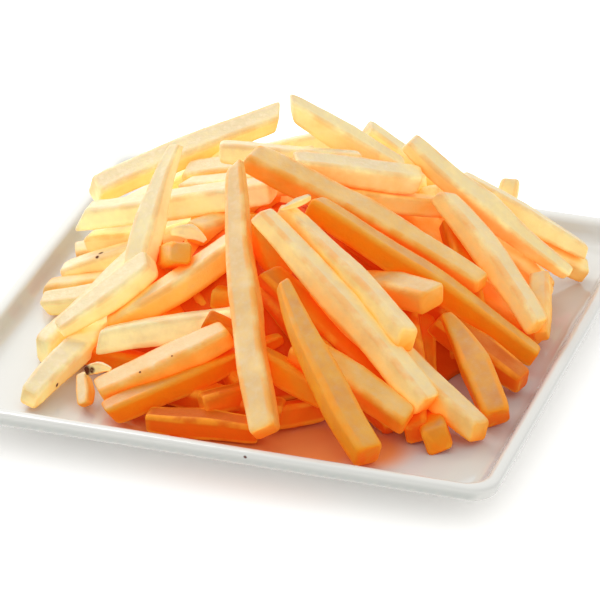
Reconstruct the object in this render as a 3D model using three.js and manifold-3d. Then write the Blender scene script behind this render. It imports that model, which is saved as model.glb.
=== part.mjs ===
// A heap of straight-cut french fries on a square white plate.
//
// Millimetres, +Z up. The origin is the middle of the plate's foot, on the surface it stands on.
// +X runs along the near edge to the right, +Y runs from the near edge to the far edge.

import * as THREE from 'three';
import { mergeVertices } from 'three/addons/utils/BufferGeometryUtils.js';
import Module from 'manifold-3d';

const wasm = await Module();
wasm.setup();

// ---------------------------------------------------------------- driving dimensions

const PLATE_SIDE = 214;
const PLATE_HEIGHT = 18;
const CORNER_RADIUS = 9;
const LIP_WIDTH = 5.5;
const LIP_SIDE_HEIGHT = 6;
const LIP_ROUNDING = 1.6;
const WELL_DEPTH = 7.5;
const WELL_WALL_RUN = 5;      // across the wall between the lip and the well's floor
const WELL_ROUNDING = 1.5;
const FLOOR_THICKNESS = 6;
const FOOT_SIDE = 150;
const FOOT_WIDTH = 7;
const FOOT_LEAN = 2;          // across each sloping side of the foot
const CORNER_STEPS = 5;
const ARC_MIDDLE = 1 - Math.SQRT1_2;   // how far a quarter round's middle lies inside its corner

const FRY_GAP = 0.3;          // between any fry and the plate
const CORNER_CUT = 0.17;      // of a fry's width, taken off each long edge
const BENT_STEPS = 3;         // lengths that a bent fry is made of
const SEEN_BOW = 1.4;         // a fry bowed less than this is built straight
const TIP_SHARE = 0.5;        // of its length, over which a drawn-out fry narrows

const HEAP_RADIUS = 93;
const HEAP_HEIGHT = 64;
const HEAP_CENTRE_Y = 2;
const CORE_RADIUS = 72;
const CORE_HEIGHT = 46;
const CORE_SIDES = 20;
const CORE_RINGS = 4;

const SETTLE_ROUNDS = 80;
const SETTLE_EASE = 0.6;      // of an overlap, undone in one round
const SETTLE_DROP = 0.06;     // that every fry sinks in one round
const TOUCH = 0.95;           // fries sink into each other by a twentieth of their width
const SAME_PLACE = 0.5;       // two fries nearer than this are pushed apart upwards
const PARALLEL = 1e-6;
const WELD = 1e-4;
const LAID = { mobility: 0.25, recall: 0.06 };
const SCATTERED = { mobility: 1, recall: 0.02 };

const FLOOR = PLATE_HEIGHT - WELL_DEPTH;
const WELL_HALF = PLATE_SIDE / 2 - LIP_WIDTH - WELL_WALL_RUN;
const LIP_HALF = PLATE_SIDE / 2 - LIP_ROUNDING;

// ---------------------------------------------------------------- fries laid by hand
// Each row: middle of one end, middle of the other end, width, sideways bow, and how narrow the
// first end is drawn out (1 is a square-cut end). The list follows the heap round from the left.

const LEFT_SIDE = [
  [[-85, 22, 42], [-28, 69, 60], 9.0, 1.5],
  [[-86, 11, 37], [-10, 9, 60], 9.5, -1],
  [[-85, 14, 27], [-25, 20, 42], 8.5, 0],
  [[-89, -1, 18], [-30, 12, 44], 9.5, 0],
  [[-90, -20, 16], [-38, -14, 29], 9.5, 0],
  [[-48, 8, 75], [-50, -33, 33], 9.0, -2, 0.45],
  [[-45, -30, 46], [-72, -55, 27], 9.0, 1],
  [[-53, -23, 25], [-69, -89, 16], 9.5, -1],
  [[-43, -11, 50], [-30, -12, 49], 6.0, 0],
  [[-56, 39, 47], [-6, 46, 57], 8.5, 0],
  [[-50, 30, 44], [0, 20, 60], 8.5, 0],
];

const NEAR_LEFT = [
  [[-13, -20, 55], [-57, -41, 24], 10.0, 2],
  [[-56, -54, 22], [1, -42, 35], 10.0, 1],
  [[-47, -82, 18], [-5, -61, 37], 10.5, -1],
  [[-26, -88, 15], [14, -84, 15], 9.0, 0],
  [[-40, -91, 17], [11, -48, 33], 9.5, 0],
  [[-56, -73, 20], [-50, -83, 14], 6.0, 0],
  [[-54, -75, 23], [-44, -77, 25], 4.5, 0],
];

const NEAR_MIDDLE = [
  [[-19, -9, 78], [18, -91, 16], 10.2, -2],
  [[-3, -29, 72], [69, -63, 22], 10.0, 1.5],
  [[3, -21, 70], [58, -50, 41], 10.0, 1],
  [[4, -28, 75], [11, -16, 75], 3.5, 0],
  [[12, -51, 57], [57, -91, 16], 10.8, -2],
  [[2, -60, 33], [34, -67, 22], 9.5, 0],
  [[-14, -50, 20], [9, -48, 26], 9.0, 0],
  [[12, -78, 15], [31, -63, 15], 9.0, 0],
  [[0, -35, 50], [53, -49, 20], 9.5, 0],
  [[-14, -14, 60], [14, -39, 36], 9.5, 0],
];

const CROWN = [
  [[12, -13, 66], [97, -8, 17], 10.0, 2],
  [[-19, 1, 77], [69, 3, 36], 10.0, 2.5],
  [[-4, 13, 72], [36, 38, 60], 9.5, 0],
  [[-36, 22, 68], [14, 33, 66], 8.0, 0],
  [[-13, 36, 83], [22, 54, 52], 9.5, 0],
  [[8, 61, 64], [41, 69, 36], 8.0, 0],
  [[4, 16, 60], [44, 41, 48], 8.0, 0],
];

const RIGHT_SIDE = [
  [[29, 46, 70], [92, 39, 27], 9.8, -2],
  [[63, 43, 34], [88, 36, 22], 8.5, 0],
  [[46, 56, 50], [92, 67, 23], 9.0, 0],
  [[58, 86, 40], [54, 72, 18], 8.5, 0],
  [[93, 68, 17], [62, 57, 30], 8.0, 0],
  [[47, 32, 57], [92, 5, 22], 9.5, 2],
  [[84, 34, 28], [94, 8, 16], 8.5, 0],
];

const NEAR_RIGHT = [
  [[29, -11, 43], [60, -21, 45], 10.5, 0],
  [[63, -17, 34], [93, -51, 16], 10.5, 1.5],
  [[58, -13, 27], [96, -23, 16], 9.5, 0],
  [[20, -38, 48], [88, -66, 16], 10.0, 0],
  [[67, -54, 16], [75, -74, 16], 9.5, 0],
  [[20, -60, 36], [66, -67, 18], 11.0, 1],
  [[44, 12, 39], [60, -31, 17], 9.5, 0],
  [[62, 19, 28], [91, 10, 16], 9.0, 0],
];

// ---------------------------------------------------------------- fries scattered by rule
// Each layer lies along the heap's outline, a depth under it, between two bearings (degrees
// round from +X) and two heights (parts of the heap's height), with lengths between two sizes.

const LAYERS = [
  { count: 13, bearing: [35, 150], height: [0.12, 0.36], depth: 7, length: [56, 86], buried: false },
  { count: 12, bearing: [40, 160], height: [0.38, 0.60], depth: 13, length: [54, 78], buried: false },
  { count: 8, bearing: [0, 360], height: [0.62, 0.90], depth: 20, length: [40, 60], buried: true },
  { count: 13, bearing: [0, 360], height: [0.10, 0.30], depth: 22, length: [48, 72], buried: true },
  { count: 12, bearing: [180, 400], height: [0.30, 0.62], depth: 20, length: [52, 76], buried: true },
];
const SCATTER_SEED = 2;
const DRAW_FACTOR = 48271;
const DRAW_RANGE = 2147483647;
const SCATTER_WIDTH = [8.4, 10.4];
const SCATTER_BOW = 2;
const SCATTER_CLIMB = 0.9;    // how freely a scattered fry may run up the slope
const SCATTER_JITTER = 0.6;   // of its share of the bearings, that each fry may lie off the middle

function randomDraw(seed) {
  let state = seed;
  return () => {
    state = (state * DRAW_FACTOR) % DRAW_RANGE;
    return state / DRAW_RANGE;
  };
}

const mix = ([low, high], part) => low + (high - low) * part;

function laidFry([from, to, width, bow, tip = 1]) {
  return {
    from: new THREE.Vector3(...from),
    to: new THREE.Vector3(...to),
    width,
    bow,
    tip,
    buried: false,
    ...LAID,
  };
}

function scatteredLayer(layer, draw) {
  const fries = [];
  for (let i = 0; i < layer.count; i += 1) {
    const bearing = THREE.MathUtils.degToRad(mix(layer.bearing, (i + 0.5 + SCATTER_JITTER * (draw() - 0.5)) / layer.count));
    const height = mix(layer.height, draw());
    const length = mix(layer.length, draw());
    const width = mix(SCATTER_WIDTH, draw());
    const radius = HEAP_RADIUS * Math.sqrt(1 - height);
    const x = Math.cos(bearing) * radius;
    const y = Math.sin(bearing) * radius;
    const steepness = (2 * HEAP_HEIGHT) / HEAP_RADIUS ** 2;
    const outward = new THREE.Vector3(steepness * x, steepness * y, 1).normalize();
    const middle = new THREE.Vector3(x, y + HEAP_CENTRE_Y, FLOOR + HEAP_HEIGHT * height)
      .addScaledVector(outward, -layer.depth);
    const level = new THREE.Vector3(0, 0, 1).cross(outward).normalize();
    const uphill = outward.clone().cross(level);
    const turn = Math.PI * draw();
    const along = level.multiplyScalar(Math.cos(turn))
      .addScaledVector(uphill, Math.sin(turn) * SCATTER_CLIMB)
      .normalize();
    fries.push({
      from: middle.clone().addScaledVector(along, -length / 2),
      to: middle.clone().addScaledVector(along, length / 2),
      width,
      bow: (draw() * 2 - 1) * SCATTER_BOW,
      tip: 1,
      buried: layer.buried,
      ...SCATTERED,
    });
  }
  return fries;
}

// ---------------------------------------------------------------- settling
// Fries that lie through each other push apart until they only touch, all sink a little, the
// plate carries the ones at the bottom, and each keeps its length and stays near its place.

const clamp01 = (value) => Math.min(1, Math.max(0, value));

// How far along each of two fries the point lies where they come closest.
function nearestParts(a, b) {
  const u = a.to.clone().sub(a.from);
  const v = b.to.clone().sub(b.from);
  const w = a.from.clone().sub(b.from);
  const uu = u.dot(u);
  const uv = u.dot(v);
  const vv = v.dot(v);
  const uw = u.dot(w);
  const vw = v.dot(w);
  const denominator = uu * vv - uv * uv;
  let s = denominator > PARALLEL ? clamp01((uv * vw - vv * uw) / denominator) : 0.5;
  const t = clamp01((uv * s + vw) / vv);
  s = clamp01((uv * t - uw) / uu);
  return [s, t];
}

const pointAt = (fry, part) => fry.from.clone().lerp(fry.to, part);

function addPush(push, direction, amount, part) {
  const lever = (1 - part) ** 2 + part ** 2;
  push.from.addScaledVector(direction, (amount * (1 - part)) / lever);
  push.to.addScaledVector(direction, (amount * part) / lever);
  push.contacts += 1;
}

function pushesBetween(fries) {
  const pushes = fries.map(() => ({ from: new THREE.Vector3(), to: new THREE.Vector3(), contacts: 0 }));
  for (let i = 0; i < fries.length; i += 1) {
    for (let j = i + 1; j < fries.length; j += 1) {
      const [s, t] = nearestParts(fries[i], fries[j]);
      const between = pointAt(fries[j], t).sub(pointAt(fries[i], s));
      const distance = between.length();
      const overlap = ((fries[i].width + fries[j].width) / 2) * TOUCH - distance;
      if (overlap > 0) {
        const apart = distance > SAME_PLACE ? between.divideScalar(distance) : new THREE.Vector3(0, 0, 1);
        const share = overlap / (fries[i].mobility + fries[j].mobility);
        addPush(pushes[i], apart, -share * fries[i].mobility, s);
        addPush(pushes[j], apart, share * fries[j].mobility, t);
      }
    }
  }
  return pushes;
}

// Keeps one end of a fry on the plate's floor, inside the well and within the lip.
function holdOnPlate(end, along, halfWidth) {
  const inWell = end.z - halfWidth < PLATE_HEIGHT;
  for (const axis of ['x', 'y']) {
    const reach = inWell ? WELL_HALF - halfWidth * Math.sqrt(1 - along[axis] ** 2) : LIP_HALF;
    end[axis] = Math.min(reach, Math.max(-reach, end[axis]));
  }
  end.z = Math.max(end.z, FLOOR + halfWidth * Math.sqrt(1 - along.z ** 2) + FRY_GAP);
}

function settle(fries) {
  const laid = fries.map((fry) => ({
    from: fry.from.clone(),
    to: fry.to.clone(),
    length: fry.from.distanceTo(fry.to),
  }));
  for (let round = 0; round < SETTLE_ROUNDS; round += 1) {
    const pushes = pushesBetween(fries);
    fries.forEach((fry, i) => {
      const ease = SETTLE_EASE / Math.sqrt(Math.max(1, pushes[i].contacts));
      fry.from.addScaledVector(pushes[i].from, ease).lerp(laid[i].from, fry.recall);
      fry.to.addScaledVector(pushes[i].to, ease).lerp(laid[i].to, fry.recall);
      const middle = pointAt(fry, 0.5);
      middle.z -= SETTLE_DROP;
      const along = fry.to.clone().sub(fry.from).normalize();
      fry.from.copy(middle).addScaledVector(along, -laid[i].length / 2);
      fry.to.copy(middle).addScaledVector(along, laid[i].length / 2);
      holdOnPlate(fry.from, along, fry.width / 2);
      holdOnPlate(fry.to, along, fry.width / 2);
    });
  }
}

// ---------------------------------------------------------------- solids

function toSolid(geometry) {
  const bare = geometry.clone();
  bare.deleteAttribute('normal');
  bare.deleteAttribute('uv');
  const merged = mergeVertices(bare, WELD);
  return new wasm.Manifold(new wasm.Mesh({
    numProp: 3,
    vertProperties: new Float32Array(merged.attributes.position.array),
    triVerts: new Uint32Array(merged.index.array),
  }));
}

function toGeometry(solid) {
  const mesh = solid.getMesh();
  const geometry = new THREE.BufferGeometry();
  geometry.setAttribute('position', new THREE.BufferAttribute(mesh.vertProperties, 3));
  geometry.setIndex(new THREE.BufferAttribute(mesh.triVerts, 1));
  geometry.computeVertexNormals();
  return geometry;
}

// The section of a fry: a square, with its corners cut off where the fry shows.
function frySection({ width, buried }) {
  const half = width / 2;
  const flat = half - CORNER_CUT * width;
  const square = [[half, -half], [half, half], [-half, half], [-half, -half]];
  const cutSquare = [
    [half, -flat], [half, flat], [flat, half], [-flat, half],
    [-half, flat], [-half, -flat], [-flat, -half], [flat, -half],
  ];
  return new THREE.Shape((buried ? square : cutSquare).map(([x, y]) => new THREE.Vector2(x, y)));
}

function fryGeometry(fry) {
  const length = fry.from.distanceTo(fry.to);
  const bent = Math.abs(fry.bow) > SEEN_BOW && !fry.buried;
  const geometry = new THREE.ExtrudeGeometry(frySection(fry), {
    depth: length,
    steps: bent ? BENT_STEPS : 1,
    bevelEnabled: false,
  });
  const position = geometry.attributes.position;
  for (let i = 0; i < position.count; i += 1) {
    const part = position.getZ(i) / length;
    const narrow = fry.tip + (1 - fry.tip) * Math.min(1, part / TIP_SHARE);
    const aside = bent ? fry.bow * 4 * part * (1 - part) : 0;
    position.setX(i, position.getX(i) * narrow + aside);
    position.setY(i, position.getY(i) * narrow);
  }
  const along = fry.to.clone().sub(fry.from).normalize();
  const side = new THREE.Vector3(0, 0, 1).cross(along).normalize();
  const upper = along.clone().cross(side);
  geometry.applyMatrix4(new THREE.Matrix4().makeBasis(side, upper, along).setPosition(fry.from));
  return geometry;
}

// The inside of the heap, a low dome that the fries are rooted in.
function coreGeometry() {
  const profile = [new THREE.Vector2(0, FRY_GAP)];
  for (let ring = CORE_RINGS; ring >= 0; ring -= 1) {
    const part = ring / CORE_RINGS;
    profile.push(new THREE.Vector2(CORE_RADIUS * part, FRY_GAP + CORE_HEIGHT * (1 - part ** 2)));
  }
  const geometry = new THREE.LatheGeometry(profile, CORE_SIDES);
  geometry.rotateX(Math.PI / 2);
  geometry.translate(0, HEAP_CENTRE_Y, FLOOR);
  return geometry;
}

// A profile of [distance from the middle, height] turned into a square dish with round corners.
// The turned form's rings of points are drawn out from circles to squares.
function squareDish(profile) {
  const points = profile.map(([reach, height]) => new THREE.Vector2(reach, height));
  const sides = 4 * CORNER_STEPS;
  const geometry = new THREE.LatheGeometry(points, sides, Math.PI / sides);
  geometry.rotateX(Math.PI / 2);
  const roundness = CORNER_RADIUS / (PLATE_SIDE / 2);
  const position = geometry.attributes.position;
  for (let i = 0; i < position.count; i += 1) {
    const x = position.getX(i);
    const y = position.getY(i);
    const reach = Math.hypot(x, y);
    position.setX(i, Math.sign(x) * reach * (1 - roundness) + x * roundness);
    position.setY(i, Math.sign(y) * reach * (1 - roundness) + y * roundness);
  }
  return geometry;
}

function plateProfile() {
  const half = PLATE_SIDE / 2;
  const underLip = PLATE_HEIGHT - LIP_SIDE_HEIGHT;
  const footOuter = FOOT_SIDE / 2;
  const footInner = footOuter - FOOT_WIDTH;
  const underFloor = FLOOR - FLOOR_THICKNESS;
  return [
    [0, underFloor],
    [footInner - FOOT_LEAN, underFloor],
    [footInner, 0],
    [footOuter, 0],
    [footOuter + FOOT_LEAN, underFloor],
    [half - 2 * LIP_ROUNDING, underLip],
    [half, underLip + LIP_ROUNDING],
    [half, PLATE_HEIGHT - LIP_ROUNDING],
    [half - LIP_ROUNDING * ARC_MIDDLE, PLATE_HEIGHT - LIP_ROUNDING * ARC_MIDDLE],
    [half - LIP_ROUNDING, PLATE_HEIGHT],
    [half - LIP_WIDTH + LIP_ROUNDING, PLATE_HEIGHT],
    [half - LIP_WIDTH, PLATE_HEIGHT - LIP_ROUNDING],
    [WELL_HALF + WELL_ROUNDING, FLOOR + WELL_ROUNDING],
    [WELL_HALF - WELL_ROUNDING, FLOOR],
    [0, FLOOR],
  ];
}

// The plate a little larger all round, for keeping the fries clear of it.
function plateClearance() {
  const half = PLATE_SIDE / 2;
  const inner = half - LIP_WIDTH - FRY_GAP;
  return squareDish([
    [0, 0],
    [half + FRY_GAP, 0],
    [half + FRY_GAP, PLATE_HEIGHT + FRY_GAP],
    [inner, PLATE_HEIGHT + FRY_GAP],
    [inner, PLATE_HEIGHT - LIP_ROUNDING],
    [WELL_HALF + WELL_ROUNDING - FRY_GAP, FLOOR + WELL_ROUNDING + FRY_GAP],
    [WELL_HALF - WELL_ROUNDING - FRY_GAP, FLOOR + FRY_GAP],
    [0, FLOOR + FRY_GAP],
  ]);
}

function heapGeometry() {
  const draw = randomDraw(SCATTER_SEED);
  const laid = [LEFT_SIDE, NEAR_LEFT, NEAR_MIDDLE, CROWN, RIGHT_SIDE, NEAR_RIGHT].flat().map(laidFry);
  const fries = [...laid, ...LAYERS.flatMap((layer) => scatteredLayer(layer, draw))];
  settle(fries);
  let heap = toSolid(coreGeometry());
  for (const fry of fries) {
    heap = heap.add(toSolid(fryGeometry(fry)));
  }
  heap = heap.subtract(toSolid(plateClearance()));
  // The outer skin alone: pockets sealed between the fries are filled, loose scraps dropped.
  const skins = heap.decompose().sort((a, b) => b.volume() - a.volume());
  return toGeometry(skins[0]);
}

// ---------------------------------------------------------------- nodes

const glaze = new THREE.MeshStandardMaterial({ color: 0xf1f1ec, roughness: 0.12, metalness: 0 });
const friedPotato = new THREE.MeshStandardMaterial({ color: 0xeebd72, roughness: 0.55, metalness: 0 });

function node(name, geometry, material) {
  const mesh = new THREE.Mesh(geometry, material);
  mesh.name = name;
  return mesh;
}

const portion = new THREE.Group();
portion.add(node('plate', squareDish(plateProfile()), glaze));
portion.add(node('fries', heapGeometry(), friedPotato));

export default portion;
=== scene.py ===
# %% [markdown]
# # A portion of french fries on a square white plate
# This lesson dresses a finished construction model: a plate and one plain solid for the heap of
# fries. The plate is made again with round edges and a glaze, and the plain solid gives way to
# about a hundred separate fries, each with its own crust. Nothing in it is moved: it says where
# everything goes.

# %% Load the frame
import math

import bmesh
import bpy
import numpy as np
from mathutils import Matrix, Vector


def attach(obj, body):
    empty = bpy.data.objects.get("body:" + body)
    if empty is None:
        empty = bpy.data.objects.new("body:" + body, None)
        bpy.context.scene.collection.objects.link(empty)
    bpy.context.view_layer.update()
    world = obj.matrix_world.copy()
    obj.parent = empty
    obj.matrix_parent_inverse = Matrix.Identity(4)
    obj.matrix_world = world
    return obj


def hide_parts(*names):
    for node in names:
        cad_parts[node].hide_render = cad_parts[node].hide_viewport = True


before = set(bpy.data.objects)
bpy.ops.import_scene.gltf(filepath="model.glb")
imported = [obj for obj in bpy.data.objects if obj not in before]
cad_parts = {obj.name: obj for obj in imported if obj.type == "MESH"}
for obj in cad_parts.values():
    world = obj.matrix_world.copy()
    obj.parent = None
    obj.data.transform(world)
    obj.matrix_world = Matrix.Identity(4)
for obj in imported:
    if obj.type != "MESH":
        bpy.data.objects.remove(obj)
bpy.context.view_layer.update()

scene = bpy.context.scene
print("nodes:", sorted(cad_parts))


# %% [markdown]
# ## Small helpers
# Sizes are written in millimetres, as a cook or a potter would measure them, and turned into
# metres where Blender gets them. Colours are written as the eye sees them on a screen, 0 to 255,
# and turned into the linear values that a renderer works with.
# Both kinds of node tree, for shapes and for finishes, are filled by one small function, so that
# a tree reads from top to bottom like a recipe.

# %% Units, colours and nodes
MM = 0.001
SQUARE = [(-1, -1), (1, -1), (1, 1), (-1, 1)]


def screen_colour(red, green, blue):
    """A colour as seen on screen, as the linear colour that Blender stores."""
    def linear(value):
        value /= 255
        return value / 12.92 if value <= 0.04045 else ((value + 0.055) / 1.055) ** 2.4
    return (linear(red), linear(green), linear(blue), 1.0)


def add(tree, kind, inputs=None, **settings):
    """Adds a node. Its inputs are values, or the outputs of other nodes."""
    made = tree.nodes.new(kind)
    for name, value in settings.items():
        setattr(made, name, value)
    for name, value in (inputs or {}).items():
        if isinstance(value, bpy.types.NodeSocket):
            tree.links.new(value, made.inputs[name])
        else:
            made.inputs[name].default_value = value
    return made


def maths(tree, operation, first, second=0.0, third=0.0, clamp=False):
    """A number worked out from other numbers."""
    made = add(tree, "ShaderNodeMath", {0: first, 1: second, 2: third}, operation=operation)
    made.use_clamp = clamp
    return made.outputs[0]


def times(tree, first, second, clamp=False):
    return maths(tree, "MULTIPLY", first, second, clamp=clamp)


def plus(tree, first, second):
    return maths(tree, "ADD", first, second)


def scaled(tree, value, factor, added, clamp=False):
    return maths(tree, "MULTIPLY_ADD", value, factor, added, clamp)


def noise(tree, place, scale, detail=3.0):
    """Soft uneven noise, mostly between 0.3 and 0.7."""
    return add(tree, "ShaderNodeTexNoise", {"Vector": place, "Scale": scale, "Detail": detail}).outputs["Fac"]


def set_values(shader, values):
    for name, value in values.items():
        shader.inputs[name].default_value = value


def between(tree, value, low, high, out_low=0.0, out_high=1.0):
    """A value that runs smoothly from one number to another."""
    made = add(tree, "ShaderNodeMapRange",
               {"Value": value, "From Min": low, "From Max": high, "To Min": out_low, "To Max": out_high},
               interpolation_type="SMOOTHSTEP")
    return made.outputs["Result"]


def new_tree(name, kind, inputs, outputs):
    """An empty node tree, what its group is given and what it puts out, by name."""
    tree = bpy.data.node_groups.new(name, kind)
    for in_out, sockets in (("INPUT", inputs), ("OUTPUT", outputs)):
        for label, what in sockets.items():
            tree.interface.new_socket(label, in_out=in_out, socket_type="NodeSocket" + what)
    return tree, tree.nodes.new("NodeGroupInput").outputs, tree.nodes.new("NodeGroupOutput").inputs


def mesh_object(name, points, faces=(), edges=(), smooth=True):
    """An object at the origin, with its place in its mesh. Points are in millimetres."""
    mesh = bpy.data.meshes.new(name)
    mesh.from_pydata((np.asarray(points) * MM).tolist(), list(edges), list(faces))
    mesh.update()
    if smooth and len(mesh.polygons):
        mesh.polygons.foreach_set("use_smooth", [True] * len(mesh.polygons))
    made = bpy.data.objects.new(name, mesh)
    scene.collection.objects.link(made)
    return made


def unit(vector):
    return vector / np.linalg.norm(vector)


print("helpers ready")


# %% [markdown]
# ## The camera
# A plate of food is best seen as a guest sees it: from the near right corner, looking down by a
# bit less than thirty degrees. A long lens from two metres away keeps the plate's edges almost
# parallel, which makes the food look calm and close.

# %% Camera
CAMERA_TARGET = Vector((-0.4, 7.6, 18.0)) * MM
CAMERA_TURN = math.radians(17.84)
CAMERA_RISE = math.radians(28.2)
CAMERA_DISTANCE = 1951 * MM
LENS = 316.4


def direction(turn, rise):
    """The direction from the plate towards something, from its turn and its rise."""
    level = math.cos(rise)
    return Vector((math.sin(turn) * level, -math.cos(turn) * level, math.sin(rise)))


camera_data = bpy.data.cameras.new("guest_view")
camera_data.lens = LENS
camera_data.sensor_width = 36
camera_data.clip_end = 20
camera = bpy.data.objects.new("guest_view", camera_data)
camera.location = CAMERA_TARGET + direction(CAMERA_TURN, CAMERA_RISE) * CAMERA_DISTANCE
camera.rotation_euler = (CAMERA_TARGET - camera.location).to_track_quat("-Z", "Y").to_euler()
scene.collection.objects.link(camera)
scene.camera = camera
print("camera at", [round(c, 3) for c in camera.location])


# %% [markdown]
# ## Table and light
# Fried food looks fresh in high, soft light from behind: tops glow, and the sides that turn to
# the viewer keep a deep orange. One wide soft box stands behind and to the left, and a bright,
# even sky fills the shadows. The floor is plain and almost white.

# %% Floor and lights
FLOOR_HALF = 2500.0
SOFT_BOX_TURN = math.radians(-118)
SOFT_BOX_RISE = math.radians(42)
SOFT_BOX_DISTANCE = 0.55
SOFT_BOX_SIDE = 0.4
SOFT_BOX_POWER = 2.6
SKY_STRENGTH = 1.22

corners = [(x * FLOOR_HALF, y * FLOOR_HALF, 0) for x, y in SQUARE]
floor = mesh_object("table_top", corners, [(0, 1, 2, 3)], smooth=False)
floor_finish = bpy.data.materials.new("white_table")
floor_finish.use_nodes = True
set_values(floor_finish.node_tree.nodes["Principled BSDF"], {
    "Base Color": (0.93, 0.925, 0.915, 1), "Roughness": 0.9,
    "Emission Color": (1.0, 0.975, 0.95, 1), "Emission Strength": 0.19})
floor.data.materials.append(floor_finish)

soft_box_data = bpy.data.lights.new("soft_box", "AREA")
soft_box_data.size = SOFT_BOX_SIDE
soft_box_data.energy = SOFT_BOX_POWER
soft_box = bpy.data.objects.new("soft_box", soft_box_data)
soft_box.location = direction(SOFT_BOX_TURN, SOFT_BOX_RISE) * SOFT_BOX_DISTANCE
soft_box.rotation_euler = (-soft_box.location).to_track_quat("-Z", "Y").to_euler()
soft_box.visible_camera = False
scene.collection.objects.link(soft_box)

world = bpy.data.worlds.new("even_sky")
world.use_nodes = True
set_values(world.node_tree.nodes["Background"],
           {"Color": (1.0, 0.995, 0.985, 1), "Strength": SKY_STRENGTH})
scene.world = world
scene.view_settings.view_transform = "Standard"
print("soft box at", [round(c, 2) for c in soft_box.location])


# %% [markdown]
# ## The shape of the plate
# A square plate like this one is pressed from clay over a mould. Its wall stands up in a narrow
# rounded lip, and its corners are small quarter rounds. It could be a box with bevels, but a
# potter thinks of it as one profile swept round: so it is turned like a bowl, and every ring of
# the turned form is then drawn out from a circle to a square with round corners.

# %% Plate
PLATE_SIDE = 214.0
PLATE_HEIGHT = 18.0
CORNER_RADIUS = 9.0
LIP_WIDTH = 5.5
LIP_SIDE_HEIGHT = 6.0
LIP_ROUNDING = 1.6
WELL_DEPTH = 7.5
WELL_WALL_RUN = 5.0
FLOOR_THICKNESS = 6.0
FOOT_SIDE = 150.0
FOOT_WIDTH = 7.0
FOOT_LEAN = 2.0
MIDDLE_REACH = 3.0
FLAT_REACH = 60.0
CORNER_STEPS = 14
PLATE_FLOOR = PLATE_HEIGHT - WELL_DEPTH
WELL_HALF = PLATE_SIDE / 2 - LIP_WIDTH - WELL_WALL_RUN
LIP_HALF = PLATE_SIDE / 2 - LIP_ROUNDING


def round_profile(knots, steps=5):
    """A bent line with its corners rounded. Each knot is a distance, a height and a radius."""
    line = []
    for i, (reach, height, radius) in enumerate(knots):
        here = np.array((reach, height))
        if radius == 0 or i in (0, len(knots) - 1):
            line.append(here)
            continue
        before = np.array(knots[i - 1][:2]) - here
        after = np.array(knots[i + 1][:2]) - here
        start, end = here + unit(before) * radius, here + unit(after) * radius
        for step in range(steps + 1):
            part = step / steps
            line.append((1 - part) ** 2 * start + 2 * part * (1 - part) * here + part ** 2 * end)
    return line


def square_rings(profile, side, corner_radius, corner_steps):
    """Rings of points round the middle, drawn out from circles to squares with round corners."""
    roundness = corner_radius / (side / 2)
    turns = [(quarter + step / corner_steps) * math.pi / 2
             for quarter in range(4) for step in range(corner_steps + 1)]
    points = []
    for reach, height in profile:
        for i, turn in enumerate(turns):
            sign_x, sign_y = SQUARE[i // (corner_steps + 1)]
            x = math.cos(turn + math.pi) * roundness + sign_x * (1 - roundness)
            y = math.sin(turn + math.pi) * roundness + sign_y * (1 - roundness)
            points.append((reach * x, reach * y, height))
    return points, len(turns)


plate_half = PLATE_SIDE / 2
under_lip = PLATE_HEIGHT - LIP_SIDE_HEIGHT
under_floor = PLATE_FLOOR - FLOOR_THICKNESS
foot_outer = FOOT_SIDE / 2
foot_inner = foot_outer - FOOT_WIDTH
plate_profile = round_profile([
    (MIDDLE_REACH, under_floor, 0),
    (foot_inner - FOOT_LEAN, under_floor, 1.2),
    (foot_inner, 0, 0.8),
    (foot_outer, 0, 0.8),
    (foot_outer + FOOT_LEAN, under_floor, 2.0),
    (plate_half - LIP_ROUNDING, under_lip, 2.2),
    (plate_half, PLATE_HEIGHT, 1.9),
    (plate_half - LIP_WIDTH + 0.4, PLATE_HEIGHT, 2.0),
    (WELL_HALF + 1.5, PLATE_FLOOR, 4.0),
    (FLAT_REACH, PLATE_FLOOR, 0),
    (MIDDLE_REACH, PLATE_FLOOR, 0),
])
plate_points, ring = square_rings(plate_profile, PLATE_SIDE, CORNER_RADIUS, CORNER_STEPS)
plate_faces = [(row * ring + i, row * ring + (i + 1) % ring,
                (row + 1) * ring + (i + 1) % ring, (row + 1) * ring + i)
               for row in range(len(plate_profile) - 1) for i in range(ring)]
plate_faces.append(tuple(range(ring - 1, -1, -1)))
plate_faces.append(tuple(range(len(plate_points) - ring, len(plate_points))))
plate = mesh_object("glazed_plate", plate_points, plate_faces)
print("plate faces:", len(plate.data.polygons))
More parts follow.
